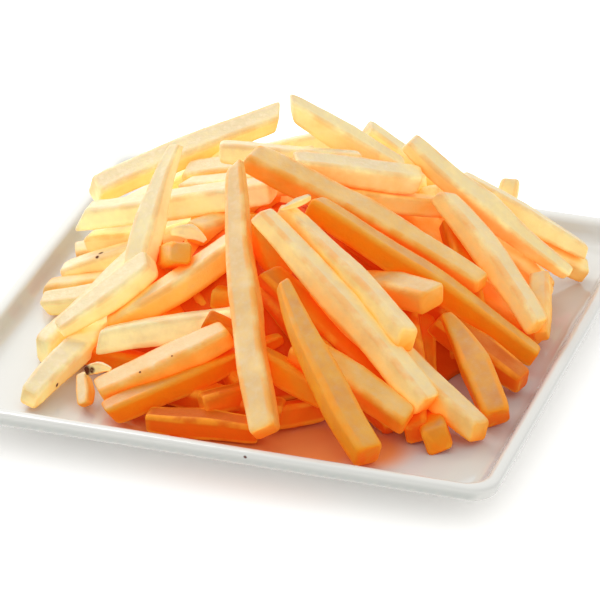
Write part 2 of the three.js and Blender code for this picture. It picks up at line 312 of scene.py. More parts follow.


# %% [markdown]
# ## Where every fry lies
# A heap of fries has an order of its own. The ones that show from the guest's place are listed:
# each row gives the middle of one end, the middle of the other end, the width, how far the
# fry bows sideways, and how deeply it is fried, from 0 for pale to 1 for dark orange. Some rows
# end with their own looks: how thin the two tips are, how an end is cut, how the fry is rolled,
# how flat it is and how far it arches. That turns a plain row into a flake, a curl or a chip.
# The rest are scattered by rule along the outline of the heap, the way they land when tipped out.

# %% Fries listed one by one
LEFT_SIDE = [
    ((-85, 22, 42), (-28, 69, 60), 9.0, 1.5, 0.05, {"end_cut": (0.4, 0.5)}),
    ((-86, 11, 37), (-10, 9, 60), 9.5, -1, 0.05, {"start_cut": (0, 0.9)}),
    ((-85, 14, 27), (-25, 20, 42), 8.5, 0, 0.1),
    ((-89, -1, 18), (-30, 12, 44), 9.5, 0, 0.1),
    ((-90, -20, 16), (-38, -14, 29), 9.5, 0, 0.05),
    ((-48, 8, 75), (-50, -33, 33), 9.0, -2, 0.02, {"tips": (0.45, 1.0)}),
    ((-45, -30, 46), (-72, -55, 27), 9.0, 1, 0.02, {"tips": (1.0, 0.7)}),
    ((-53, -23, 25), (-69, -89, 16), 9.5, -1, 0.05, {"tips": (0.9, 0.8)}),
    ((-43, -11, 50), (-30, -12, 49), 6.0, 0, -0.2, {"tips": (0.5, 0.35), "flatness": 0.55, "arch": 2.5}),
    ((-56, 39, 47), (-6, 46, 57), 8.5, 0, 0.2),
    ((-50, 30, 44), (0, 20, 60), 8.5, 0, 0.2),
]
NEAR_LEFT = [
    ((-13, -20, 55), (-57, -41, 24), 10.0, 2, 0.4),
    ((-56, -54, 22), (1, -42, 35), 10.0, 1, 0.06, {"tips": (0.95, 1.0), "flatness": 1.12}),
    ((-47, -82, 18), (-5, -61, 37), 10.5, -1, 0.5, {"tips": (1.0, 0.85), "roll": 6}),
    ((-26, -88, 15), (14, -84, 15), 9.0, 0, 1.1, {"roll": 4}),
    ((-40, -91, 17), (11, -48, 33), 9.5, 0, 0.75, {"tips": (0.9, 0.4), "roll": 0}),
    ((-56, -73, 20), (-50, -83, 14), 6.0, 0, 0.4, {"tips": (0.8, 0.9), "roll": 35}),
    ((-54, -75, 23), (-44, -77, 25), 4.5, 0, 0.25, {"tips": (0.8, 0.4), "flatness": 0.7, "arch": 1}),
]
NEAR_MIDDLE = [
    ((-19, -9, 78), (18, -91, 16), 10.2, -2, 0.54,
     {"tips": (0.62, 1.0), "start_cut": (-0.7, 0), "roll": 22}),
    ((-3, -29, 72), (69, -63, 22), 10.0, 1.5, 0.3, {"tips": (0.75, 1.0)}),
    ((3, -21, 70), (58, -50, 41), 10.0, 1, 0.42, {"tips": (0.7, 0.9)}),
    ((4, -28, 75), (11, -16, 75), 3.5, 0, 0.2, {"tips": (0.4, 0.8), "flatness": 0.6}),
    ((12, -51, 57), (57, -91, 16), 10.8, -2, 0.74, {"tips": (0.5, 1.0)}),
    ((2, -60, 33), (34, -67, 22), 9.5, 0, 0.75),
    ((-14, -50, 20), (9, -48, 26), 9.0, 0, 0.9),
    ((12, -78, 15), (31, -63, 15), 9.0, 0, 0.9),
    ((0, -35, 50), (53, -49, 20), 9.5, 0, 0.9),
    ((-14, -14, 60), (14, -39, 36), 9.5, 0, 0.75),
]
CROWN = [
    ((12, -13, 66), (97, -8, 17), 10.0, 2, 0.75, {"tips": (0.85, 0.75)}),
    ((-19, 1, 77), (69, 3, 36), 10.0, 2.5, 0.56, {"tips": (0.95, 0.7)}),
    ((-4, 13, 72), (36, 38, 60), 9.5, 0, 0.15),
    ((-36, 22, 68), (14, 33, 66), 8.0, 0, 0.1),
    ((-13, 36, 83), (22, 54, 52), 9.5, 0, 0.1, {"start_cut": (0, -0.8)}),
    ((8, 61, 64), (41, 69, 36), 8.0, 0, 0.1),
    ((4, 16, 60), (44, 41, 48), 8.0, 0, 0.3),
]
RIGHT_SIDE = [
    ((29, 46, 70), (92, 39, 27), 9.8, -2, 0.2, {"tips": (0.72, 0.5)}),
    ((63, 43, 34), (88, 36, 22), 8.5, 0, 0.25, {"tips": (1.0, 0.35)}),
    ((46, 56, 50), (92, 67, 23), 9.0, 0, 0.1, {"tips": (1.0, 0.6)}),
    ((58, 86, 40), (54, 72, 18), 8.5, 0, 0.15),
    ((93, 68, 17), (62, 57, 30), 8.0, 0, 0.2),
    ((47, 32, 57), (92, 5, 22), 9.5, 2, 0.36),
    ((84, 34, 28), (94, 8, 16), 8.5, 0, 0.45, {"tips": (1.0, 0.7)}),
]
NEAR_RIGHT = [
    ((29, -11, 43), (60, -21, 45), 10.5, 0, 0.5, {"tips": (0.6, 1.0)}),
    ((63, -17, 34), (93, -51, 16), 10.5, 1.5, 0.72, {"tips": (0.4, 1.0)}),
    ((58, -13, 27), (96, -23, 16), 9.5, 0, 1.0),
    ((20, -38, 48), (88, -66, 16), 10.0, 0, 0.45),
    ((67, -54, 16), (75, -74, 16), 9.5, 0, 0.85),
    ((20, -60, 36), (66, -67, 18), 11.0, 1, 0.6),
    ((44, 12, 39), (60, -31, 17), 9.5, 0, 0.9),
    ((62, 19, 28), (91, 10, 16), 9.0, 0, 0.5),
]
LAID = [*LEFT_SIDE, *NEAR_LEFT, *NEAR_MIDDLE, *CROWN, *RIGHT_SIDE, *NEAR_RIGHT]
print("fries laid by hand:", len(LAID))


# %% [markdown]
# The scattered fries follow the outline of the heap, a round dome on the plate. Each layer lies
# a depth under that dome, between two bearings and two heights. The draws come from a small
# counter with a fixed start, so that the same heap falls every time. The fries get paler towards
# the back left, where the soft box stands: partly how they are fried and partly painted light.
# Two that come to lie where they would stand out are given their colours one by one.

# %% Fries scattered by rule
HEAP_RADIUS = 93.0
HEAP_HEIGHT = 64.0
HEAP_CENTRE_Y = 2.0
SCATTER_SEED = 2
DRAW_FACTOR = 48271
DRAW_RANGE = 2147483647
SCATTER_WIDTH = (8.4, 10.4)
SCATTER_BOW = 2.0
SCATTER_CLIMB = 0.9
SCATTER_JITTER = 0.6
HELD = {"mobility": 0.25, "recall": 0.06}
LOOSE = {"mobility": 1.0, "recall": 0.02}
# The fries turn paler towards the soft box at the back left: partly frying, partly painted light.
PALER_AND_PAINTED_LIGHT_WAY = np.array((-0.42, 0.4, 0.0))
FRIED_BY_HAND = {90: 0.1, 96: 0.75}
LAYERS = [
    {"count": 13, "bearing": (35, 150), "height": (0.12, 0.36), "depth": 7,
     "length": (56, 86), "fried": 0.3, "buried": False},
    {"count": 12, "bearing": (40, 160), "height": (0.38, 0.60), "depth": 13,
     "length": (54, 78), "fried": 0.38, "buried": False},
    {"count": 8, "bearing": (0, 360), "height": (0.62, 0.90), "depth": 20,
     "length": (40, 60), "fried": 0.6, "buried": True},
    {"count": 13, "bearing": (0, 360), "height": (0.10, 0.30), "depth": 22,
     "length": (48, 72), "fried": 0.75, "buried": True},
    {"count": 12, "bearing": (180, 400), "height": (0.30, 0.62), "depth": 20,
     "length": (52, 76), "fried": 0.75, "buried": True},
]


def draws(seed):
    """An endless row of even draws between 0 and 1."""
    state = seed
    while True:
        state = state * DRAW_FACTOR % DRAW_RANGE
        yield state / DRAW_RANGE


def mix(span, part):
    return span[0] + (span[1] - span[0]) * part


def laid_fry(row):
    start, end, width, bow, fried, *looks = row
    return {"start": start, "end": end, "width": width, "bow": bow, "fried": fried,
            "looks": looks[0] if looks else {}, "buried": False, **HELD}


def scattered_layer(layer, draw):
    """Fries that lie along the dome of the heap, a depth under it."""
    made = []
    for i in range(layer["count"]):
        share = (i + 0.5 + SCATTER_JITTER * (next(draw) - 0.5)) / layer["count"]
        bearing = math.radians(mix(layer["bearing"], share))
        height = mix(layer["height"], next(draw))
        length = mix(layer["length"], next(draw))
        width = mix(SCATTER_WIDTH, next(draw))
        radius = HEAP_RADIUS * math.sqrt(1 - height)
        x, y = math.cos(bearing) * radius, math.sin(bearing) * radius
        steepness = 2 * HEAP_HEIGHT / HEAP_RADIUS ** 2
        outward = unit(np.array((steepness * x, steepness * y, 1.0)))
        middle = np.array((x, y + HEAP_CENTRE_Y, PLATE_FLOOR + HEAP_HEIGHT * height))
        middle -= outward * layer["depth"]
        level = unit(np.cross((0.0, 0.0, 1.0), outward))
        uphill = np.cross(outward, level)
        turn = math.pi * next(draw)
        along = unit(level * math.cos(turn) + uphill * math.sin(turn) * SCATTER_CLIMB)
        made.append({"start": middle - along * length / 2, "end": middle + along * length / 2,
                     "width": width, "bow": (next(draw) * 2 - 1) * SCATTER_BOW,
                     "fried": layer["fried"] - float(PALER_AND_PAINTED_LIGHT_WAY @ middle) / HEAP_RADIUS,
                     "looks": {}, "buried": layer["buried"], **LOOSE})
    return made


draw = draws(SCATTER_SEED)
fries = [laid_fry(row) for row in LAID]
for layer in LAYERS:
    fries += scattered_layer(layer, draw)
for number, fried in FRIED_BY_HAND.items():
    fries[number]["fried"] = fried
print("fries in the heap:", len(fries))


# %% [markdown]
# ## Letting the heap settle
# Two fries can't lie in the same place. A full physics simulation would do it, but it is slow
# and it would lose the laid picture. So the fries settle by a simple rule, repeated some eighty
# times: where two come too close they push each other apart, all sink a little, the plate holds
# up the lowest ones, and each fry keeps its length and stays near its place.

# %% Settle
FRY_GAP = 0.3
SETTLE_ROUNDS = 80
SETTLE_EASE = 0.6
SETTLE_DROP = 0.06
TOUCH = 0.95
SAME_PLACE = 0.5
PARALLEL = 1e-6


def dots(a, b):
    return (a * b).sum(axis=1)


def nearest_parts(a_start, a_end, b_start, b_end):
    """How far along each fry of every pair the point lies where the two come closest."""
    u, v, w = a_end - a_start, b_end - b_start, a_start - b_start
    uu, uv, vv, uw, vw = dots(u, u), dots(u, v), dots(v, v), dots(u, w), dots(v, w)
    denominator = uu * vv - uv * uv
    crossing = (uv * vw - vv * uw) / np.where(denominator > PARALLEL, denominator, 1.0)
    s = np.where(denominator > PARALLEL, np.clip(crossing, 0, 1), 0.5)
    t = np.clip((uv * s + vw) / vv, 0, 1)
    s = np.clip((uv * t - uw) / uu, 0, 1)
    return s[:, None], t[:, None]


def hold_on_plate(ends, along, half):
    """Keeps the ends of the fries on the floor of the plate, in the well and inside the lip."""
    in_well = ends[:, 2] - half < PLATE_HEIGHT
    for axis in (0, 1):
        well = WELL_HALF - half * np.sqrt(1 - along[:, axis] ** 2)
        reach = np.where(in_well, well, LIP_HALF)
        ends[:, axis] = np.clip(ends[:, axis], -reach, reach)
    lowest = PLATE_FLOOR + half * np.sqrt(1 - along[:, 2] ** 2) + FRY_GAP
    ends[:, 2] = np.maximum(ends[:, 2], lowest)


def settle(fries):
    """Pushes the fries apart and writes their settled ends back."""
    def of_all(key):
        return np.array([fry[key] for fry in fries], float)
    start, end, width = of_all("start"), of_all("end"), of_all("width")
    mobility, recall = of_all("mobility")[:, None], of_all("recall")[:, None]
    laid_start, laid_end = start.copy(), end.copy()
    length = np.linalg.norm(end - start, axis=1)[:, None]
    one, other = np.triu_indices(len(fries), 1)
    touching = ((width[one] + width[other]) / 2 * TOUCH)[:, None]
    for _ in range(SETTLE_ROUNDS):
        s, t = nearest_parts(start[one], end[one], start[other], end[other])
        here = start[one] + (end[one] - start[one]) * s
        there = start[other] + (end[other] - start[other]) * t
        gap = there - here
        distance = np.linalg.norm(gap, axis=1)[:, None]
        overlap = touching - distance
        hit = overlap[:, 0] > 0
        apart = np.where(distance > SAME_PLACE, gap / np.maximum(distance, PARALLEL), (0.0, 0.0, 1.0))
        push_start, push_end = np.zeros_like(start), np.zeros_like(end)
        contacts = np.zeros(len(fries))
        for index, part, sign in ((one, s, -1), (other, t, 1)):
            share = overlap / (mobility[one] + mobility[other]) * mobility[index] * sign
            lever = (1 - part) ** 2 + part ** 2
            np.add.at(push_start, index[hit], (apart * share * (1 - part) / lever)[hit])
            np.add.at(push_end, index[hit], (apart * share * part / lever)[hit])
            np.add.at(contacts, index[hit], 1)
        ease = SETTLE_EASE / np.sqrt(np.maximum(1, contacts))[:, None]
        start = start + push_start * ease
        start += (laid_start - start) * recall
        end = end + push_end * ease
        end += (laid_end - end) * recall
        middle = (start + end) / 2 - np.array((0, 0, SETTLE_DROP))
        along = (end - start) / np.linalg.norm(end - start, axis=1)[:, None]
        start, end = middle - along * length / 2, middle + along * length / 2
        hold_on_plate(start, along, width / 2)
        hold_on_plate(end, along, width / 2)
    for fry, a, b in zip(fries, start, end):
        fry["start"], fry["end"] = a, b
    return overlap[hit].max()


deepest = settle(fries)
print("deepest overlap left, in mm:", round(float(deepest), 2))


# %% [markdown]
# ## One fry
# A fry is cut square from a potato. In hot fat its skin dries to a crust: the faces sink and
# ripple a little, the long edges stay crisp, and the cut ends draw in. That makes it a shape
# that follows a rule: a square section with soft corners, swept along a line that hardly bends.
# The lines are drawn here. Every point of a line carries what the sweep needs to know: how wide
# the fry is there, how far it is rolled over, how near its end is, and the fry's own number.

# %% Centre lines
END_RINGS = ((0.0, 0.80), (0.12, 0.87), (0.4, 0.94), (0.9, 0.985), (1.6, 1.0))
DRAW_IN = 0.07
DRAW_IN_LENGTH = 5.0
FINE_STEP = 0.95
PLAIN_STEP = 2.2
END_SOFTNESS = (0.8, 1.5)
WAVE_LENGTH = (40, 70)
WANDER = 0.28
WIDTH_WANDER = 0.03
ROLL_LIMIT = 20
TIP_SHRINK = (0.84, 1.0)
CUT_LEAN = 0.45
CUT_LENGTH = 9.0
FLATNESS = (0.88, 1.1)
LOOKS_SEED = 5


def centre_line(fry, number, look):
    """Points along one fry, in mm, with what the sweep needs at each of them."""
    start, end = np.array(fry["start"], float), np.array(fry["end"], float)
    length = np.linalg.norm(end - start)
    along = unit(end - start)
    side = unit(np.cross((0.0, 0.0, 1.0), along))
    upper = np.cross(along, side)
    step = PLAIN_STEP if fry["buried"] else FINE_STEP
    softness = mix(END_SOFTNESS, next(look))
    ring_at = np.array([at for at, _ in END_RINGS]) * softness
    ring_size = np.array([size for _, size in END_RINGS])
    inner = length - 2 * ring_at[-1]
    count = max(2, round(inner / step))
    middle_at = ring_at[-1] + inner * np.arange(1, count) / count
    at = np.concatenate([ring_at, middle_at, length - ring_at[::-1]])
    size = np.concatenate([ring_size, np.ones(count - 1), ring_size[::-1]])
    part = at / length
    from_end = np.minimum(at, length - at)
    phases = [next(look) * math.tau for _ in range(3)]
    wave = math.tau * at / mix(WAVE_LENGTH, next(look))
    calm = 4 * part * (1 - part)
    points = start + along * at[:, None]
    points += side * (fry["bow"] * calm + WANDER * calm * np.sin(wave + phases[0]))[:, None]
    arch = fry["looks"].get("arch", 0)
    points += upper * (arch * calm + WANDER * calm * np.sin(wave * 0.8 + phases[1]))[:, None]
    tips = [mix(TIP_SHRINK, next(look)), mix(TIP_SHRINK, next(look))]
    tips = fry["looks"].get("tips", tips)
    taper = np.where(part < 0.5, tips[0] + (1 - tips[0]) * part * 2,
                     tips[1] + (1 - tips[1]) * (1 - part) * 2)
    drawn_in = 1 - DRAW_IN * np.exp(-from_end / DRAW_IN_LENGTH * 2)
    thick = 1 + WIDTH_WANDER * np.sin(wave * 1.3 + phases[2])
    half = fry["width"] / 2 * size * taper * thick * drawn_in
    roll = mix((-ROLL_LIMIT, ROLL_LIMIT), next(look))
    roll = math.radians(fry["looks"].get("roll", roll))
    across = side * math.cos(roll) + upper * math.sin(roll)
    cut = np.zeros((len(at), 3))
    for which, from_this_end in (("start_cut", at), ("end_cut", length - at)):
        bearing, lean = next(look) * math.tau, CUT_LEAN * next(look)
        sideways, upwards = fry["looks"].get(which, (math.cos(bearing) * lean, math.sin(bearing) * lean))
        cut += (side * sideways + upper * upwards) * np.clip(1 - from_this_end / CUT_LENGTH, 0, 1)[:, None]
    rows = np.ones((len(at), 1))
    return {
        "points": points,
        "half": half * MM,
        "end": from_end * MM,
        "fry": np.full(len(at), float(number)),
        "fried": np.full(len(at), fry["fried"]),
        "flatness": np.full(len(at), fry["looks"].get("flatness", mix(FLATNESS, next(look)))),
        "middle": points * MM,
        "along": along * rows,
        "across": across * rows,
        "cut": cut,
    }


def line_object(name, lines):
    """All the lines of one group of fries, as one mesh of edges with attributes."""
    edges, first = [], 0
    for line in lines:
        count = len(line["points"])
        edges += [(first + i, first + i + 1) for i in range(count - 1)]
        first += count
    made = mesh_object(name, np.concatenate([line["points"] for line in lines]), edges=edges)
    for kind, field, keys in (("FLOAT", "value", ("half", "end", "fry", "fried", "flatness")),
                              ("FLOAT_VECTOR", "vector", ("middle", "along", "across", "cut"))):
        for key in keys:
            attribute = made.data.attributes.new(key, kind, "POINT")
            attribute.data.foreach_set(field, np.concatenate([line[key] for line in lines]).ravel())
    return made


look = draws(LOOKS_SEED)
lines = [centre_line(fry, number, look) for number, fry in enumerate(fries)]
print("points on all lines:", sum(len(line["points"]) for line in lines))


# %% [markdown]
# ## The fry maker
# Modelling a hundred fries by hand would take a day and they would all look alike. Geometry
# Nodes make them in one go. The tree turns the edges into curves, sweeps a square with soft
# corners along them, and then moves the skin in and out: flat faces sink in the middle, wide
# ripples make each fry uneven, and small ones roughen the crisp corners.

# %% Fry maker tree
CORNER_REACH = (1.04, 1.24)
SHIFT_PER_FRY = 0.37
SMALL_RIPPLE_SIZE = 0.3
SMALL_RIPPLE_SHARE = 0.4
NICK_SIZE = 0.16
EVEN_END = 2.0


def shape(tree, kind, inputs=None, **settings):
    """Adds a geometry node and gives its first output."""
    return add(tree, "GeometryNode" + kind, inputs, **settings).outputs[0]


def named(tree, name, kind="FLOAT"):
    return shape(tree, "InputNamedAttribute", {"Name": name}, data_type=kind)


def vectors(tree, operation, first, second):
    other = 3 if operation == "SCALE" else 1
    made = add(tree, "ShaderNodeVectorMath", {0: first, other: second}, operation=operation)
    return made.outputs["Value" if operation in ("DOT_PRODUCT", "DISTANCE") else "Vector"]


def stored(tree, geometry, name, value):
    return shape(tree, "StoreNamedAttribute", {"Geometry": geometry, "Name": name, "Value": value},
                 data_type="FLOAT", domain="POINT")


def fry_noise(tree, size, number, seed_shift, detail=2.0):
    """Uneven noise from -1 to 1 over a fry, different on every fry."""
    place = shape(tree, "InputPosition")
    shift = plus(tree, times(tree, number, SHIFT_PER_FRY), seed_shift)
    uneven = noise(tree, vectors(tree, "ADD", place, shift), maths(tree, "DIVIDE", 1.0, size), detail)
    return scaled(tree, uneven, 2.0, -1.0)


def fry_maker_tree():
    tree, given, result = new_tree("fry_maker", "GeometryNodeTree", {
        "Lines": "Geometry", "Section points": "Int", "Corner softness": "Float",
        "Face sink": "Float", "Ripple": "Float", "Ripple size": "Float",
        "Corner nicks": "Float", "Seed": "Float", "Crust": "Material"}, {"Fries": "Geometry"})
    curve = shape(tree, "MeshToCurve", {"Mesh": given["Lines"]})
    across = named(tree, "across", "FLOAT_VECTOR")
    curve = shape(tree, "SetCurveNormal", {"Curve": curve, "Normal": across}, mode="FREE")
    square = shape(tree, "CurvePrimitiveQuadrilateral", {"Width": 2.0, "Height": 2.0})
    soft = shape(tree, "FilletCurve",
                 {"Curve": square, "Count": 4, "Radius": given["Corner softness"]}, mode="POLY")
    section = shape(tree, "ResampleCurve", {"Curve": soft, "Count": given["Section points"]}, mode="COUNT")
    place = shape(tree, "InputPosition")
    reach = add(tree, "ShaderNodeVectorMath", {0: place}, operation="LENGTH").outputs["Value"]
    section = stored(tree, section, "corner", between(tree, reach, *CORNER_REACH))
    skin = shape(tree, "CurveToMesh", {"Curve": curve, "Profile Curve": section,
                                       "Scale": named(tree, "half"), "Fill Caps": True})
    offset = vectors(tree, "SUBTRACT", place, named(tree, "middle", "FLOAT_VECTOR"))
    stretch = maths(tree, "SUBTRACT", named(tree, "flatness"), 1.0)
    stretch = times(tree, stretch, vectors(tree, "DOT_PRODUCT", offset, across))
    lean = vectors(tree, "DOT_PRODUCT", offset, named(tree, "cut", "FLOAT_VECTOR"))
    moved = vectors(tree, "ADD", vectors(tree, "SCALE", across, stretch),
                    vectors(tree, "SCALE", named(tree, "along", "FLOAT_VECTOR"), lean))
    skin = shape(tree, "SetPosition", {"Geometry": skin, "Offset": moved})
    number = named(tree, "fry")
    corner = named(tree, "corner")
    face = maths(tree, "SUBTRACT", 1.0, corner)
    sink = times(tree, face, times(tree, given["Face sink"], -1.0))
    wide = fry_noise(tree, given["Ripple size"], number, given["Seed"])
    small_size = times(tree, given["Ripple size"], SMALL_RIPPLE_SIZE)
    small = fry_noise(tree, small_size, number, plus(tree, given["Seed"], 7.0))
    ripple = scaled(tree, small, SMALL_RIPPLE_SHARE, wide)
    ripple = times(tree, ripple, given["Ripple"])
    nick_size = times(tree, given["Ripple size"], NICK_SIZE)
    nicks = fry_noise(tree, nick_size, number, plus(tree, given["Seed"], 13.0), 3.0)
    nicks = times(tree, times(tree, nicks, corner), given["Corner nicks"])
    lift = plus(tree, plus(tree, sink, ripple), nicks)
    lift = times(tree, lift, between(tree, named(tree, "end"), 0.0, EVEN_END * MM))
    normal = shape(tree, "InputNormal")
    raised = vectors(tree, "SCALE", normal, lift)
    skin = shape(tree, "SetPosition", {"Geometry": skin, "Offset": raised})
    skin = shape(tree, "SetShadeSmooth", {"Geometry": skin, "Shade Smooth": True})
    whole = shape(tree, "RealizeInstances", {"Geometry": skin})
    dressed = shape(tree, "SetMaterial", {"Geometry": whole, "Material": given["Crust"]})
    tree.links.new(dressed, result[0])
    return tree


def run_tree(source, tree, values, name):
    """Runs a tree on an object and returns what it makes as a plain mesh object."""
    modifier = source.modifiers.new(tree.name, "NODES")
    modifier.node_group = tree
    for item in tree.interface.items_tree:
        if item.in_out == "INPUT" and item.name in values:
            modifier[item.identifier] = values[item.name]
    graph = bpy.context.evaluated_depsgraph_get()
    mesh = bpy.data.meshes.new_from_object(source.evaluated_get(graph), depsgraph=graph)
    mesh.name = name
    made = bpy.data.objects.new(name, mesh)
    scene.collection.objects.link(made)
    bpy.data.objects.remove(source)
    return made


crust = bpy.data.materials.new("fried_crust")
fry_maker = fry_maker_tree()
print("fry maker nodes:", len(fry_maker.nodes))


# %% [markdown]
# The heap is made in four groups, so that no piece gets too heavy to handle: the fries on the
# left, those on the right, those at the back, and the plainer ones that lie buried and only show
# through the gaps.

# %% Make the fries
FINE = {"Section points": 32, "Corner softness": 0.36, "Face sink": 0.16 * MM, "Ripple": 0.2 * MM,
        "Ripple size": 14 * MM, "Corner nicks": 0.16 * MM, "Seed": 1.0, "Crust": crust}
PLAIN = {**FINE, "Section points": 16}
MIDDLE_ON_LEFT = 5
left_count = len(LEFT_SIDE) + len(NEAR_LEFT) + MIDDLE_ON_LEFT
shown = [number for number, fry in enumerate(fries) if not fry["buried"]]
buried = [number for number, fry in enumerate(fries) if fry["buried"]]
GROUPS = {
    "fries_left": ([n for n in shown if n < left_count], FINE),
    "fries_right": ([n for n in shown if left_count <= n < len(LAID)], FINE),
    "fries_back": ([n for n in shown if n >= len(LAID)], FINE),
    "fries_buried": (buried, PLAIN),
}
fry_pieces = []
for name, (numbers, values) in GROUPS.items():
    piece = run_tree(line_object(name + "_lines", [lines[n] for n in numbers]), fry_maker, values, name)
    fry_pieces.append(piece)
    triangles = sum(len(face.vertices) - 2 for face in piece.data.polygons)
    print(name, "fries:", len(numbers), "triangles:", triangles)


# %% [markdown]
# ## The core of the heap
# Behind the outer fries there are only more fries in deep shade. A low dome stands for them, so
# that no gap looks through to the plate. Its skin is ridged like fries that lie side by side, in
# patches that run two ways.

# %% Core
CORE_RADIUS = 70.0
CORE_HEIGHT = 43.0
CORE_SIDES = 160
CORE_RINGS = 50
LUMPS = ((0.03, 7, 9), (0.025, 13, -17))
RIDGE_STEP = 9.5
RIDGE_HEIGHT = 2.2
RIDGE_TURNS = (math.radians(40), math.radians(-52))
RIDGE_PATCH = (21.0, 27.0)


def ridges(x, y):
    """How high the skin of the core rises at a place, in mm, as if fries lay there in patches."""
    turn = RIDGE_TURNS[math.sin(x / RIDGE_PATCH[0] + 1) * math.cos(y / RIDGE_PATCH[1] + 0.5) > 0]
    across = (x * math.sin(turn) - y * math.cos(turn)) / RIDGE_STEP
    return RIDGE_HEIGHT * (abs(math.sin(math.pi * across)) ** 0.5 - 0.8)


def core_points():
    points = [(0.0, HEAP_CENTRE_Y, PLATE_FLOOR + FRY_GAP + CORE_HEIGHT)]
    for row in range(1, CORE_RINGS + 1):
        part = row / CORE_RINGS
        for i in range(CORE_SIDES):
            turn = math.tau * i / CORE_SIDES
            lump = sum((size * math.sin(a * turn + b * part) for size, a, b in LUMPS), 1.0)
            x = math.cos(turn) * CORE_RADIUS * part * lump
            y = math.sin(turn) * CORE_RADIUS * part * lump + HEAP_CENTRE_Y
            ripple = ridges(x, y) * (1 - part ** 4)
            points.append((x, y, PLATE_FLOOR + FRY_GAP + CORE_HEIGHT * (1 - part ** 2) + ripple))
    return points


core_faces = [(0, 1 + i, 1 + (i + 1) % CORE_SIDES) for i in range(CORE_SIDES)]
for row in range(CORE_RINGS - 1):
    first = 1 + row * CORE_SIDES
    for i in range(CORE_SIDES):
        beside = (i + 1) % CORE_SIDES
        core_faces.append((first + i, first + CORE_SIDES + i, first + CORE_SIDES + beside, first + beside))
last = 1 + (CORE_RINGS - 1) * CORE_SIDES
core_faces.append(tuple(range(last + CORE_SIDES - 1, last - 1, -1)))
core = mesh_object("heap_core", core_points(), core_faces)
print("core faces:", len(core.data.polygons))


# %% [markdown]
# ## How much light reaches every spot
# In a heap of fries the colour tells how open a spot is. Light that reaches the tops straight
# from the lamp stays pale, and light that has bounced from crust to crust on its way into a gap
# turns orange and then red. A renderer follows a few bounces of it. To get the deep glow, the
# light is measured at every point: a tree sends rays all round and asks two things. How much of
# the high light from behind gets here, and how open is it here at all? Both are kept as
# attributes that the crust reads and paints into its colour, as painted light and painted shade.

# %% Light finder tree
RAY_COUNT = 36
RAY_REACH = 90 * MM
RAY_LIFT = 0.5 * MM
CLOSE_BY = 38 * MM
LIGHT_LEAN = Vector((-0.52, 0.22, 0.82)).normalized()


def ray_ball(count):
    """Directions spread evenly all round."""
    ball = []
    for i in range(count):
        rise = 1 - 2 * (i + 0.5) / count
        turn = i * math.pi * (3 - math.sqrt(5))
        level = math.sqrt(1 - rise * rise)
        ball.append(Vector((math.cos(turn) * level, math.sin(turn) * level, rise)))
    return ball


def light_finder_tree():
    tree, given, result = new_tree("light_finder", "GeometryNodeTree", {
        "Piece": "Geometry", "Heap": "Object", "Reach": "Float", "Lift": "Float",
        "Close by": "Float"}, {"Piece": "Geometry"})
    heap = add(tree, "GeometryNodeObjectInfo", {"Object": given["Heap"]}).outputs["Geometry"]
    place = shape(tree, "InputPosition")
    normal = shape(tree, "InputNormal")
    source = vectors(tree, "ADD", place, vectors(tree, "SCALE", normal, given["Lift"]))
    sums = {"light": None, "open": None, "all": None}
    most = 0.0
    for ray in ray_ball(RAY_COUNT):
        facing = maths(tree, "MAXIMUM", vectors(tree, "DOT_PRODUCT", normal, ray), 0.0)
        cast = add(tree, "GeometryNodeRaycast",
                   {"Target Geometry": heap, "Source Position": source, "Ray Direction": ray,
                    "Ray Length": given["Reach"]})
        free = maths(tree, "SUBTRACT", 1.0, cast.outputs["Is Hit"])
        roomy = maths(tree, "DIVIDE", cast.outputs["Hit Distance"], given["Close by"], clamp=True)
        parts = {"open": times(tree, facing, maths(tree, "MAXIMUM", free, roomy)), "all": facing}
        weight = ray.dot(LIGHT_LEAN)
        if weight > 0:
            parts["light"] = times(tree, times(tree, facing, free), weight)
            most += weight * weight
        for key, part in parts.items():
            sums[key] = part if sums[key] is None else plus(tree, sums[key], part)
    piece = given["Piece"]
    for name, total, whole in (("light", sums["light"], most), ("open", sums["open"], sums["all"])):
        share = maths(tree, "DIVIDE", total, whole)
        blurred = shape(tree, "BlurAttribute", {"Value": share, "Iterations": 2}, data_type="FLOAT")
        piece = stored(tree, piece, name, blurred)
    whole = shape(tree, "RealizeInstances", {"Geometry": piece})
    tree.links.new(whole, result[0])
    return tree


def joined_copy(name, pieces):
    """One mesh of all the pieces, for the rays to hit."""
    whole = bmesh.new()
    for piece in pieces:
        whole.from_mesh(piece.data)
    made = mesh_object(name, [])
    whole.to_mesh(made.data)
    whole.free()
    return made


light_finder = light_finder_tree()
whole_heap = joined_copy("whole_heap", [*fry_pieces, core, plate])
light_values = {"Heap": whole_heap, "Reach": RAY_REACH, "Lift": RAY_LIFT, "Close by": CLOSE_BY}
fry_pieces = [run_tree(piece, light_finder, light_values, piece.name.split(".")[0] + "_lit")
              for piece in fry_pieces]
bpy.data.objects.remove(whole_heap)
for piece in fry_pieces:
    piece.name = piece.name.replace("_lit", "")
    values = np.empty(len(piece.data.vertices), np.float32)
    piece.data.attributes["light"].data.foreach_get("value", values)
    print(piece.name, "light from", round(float(values.min()), 2), "to", round(float(values.max()), 2))
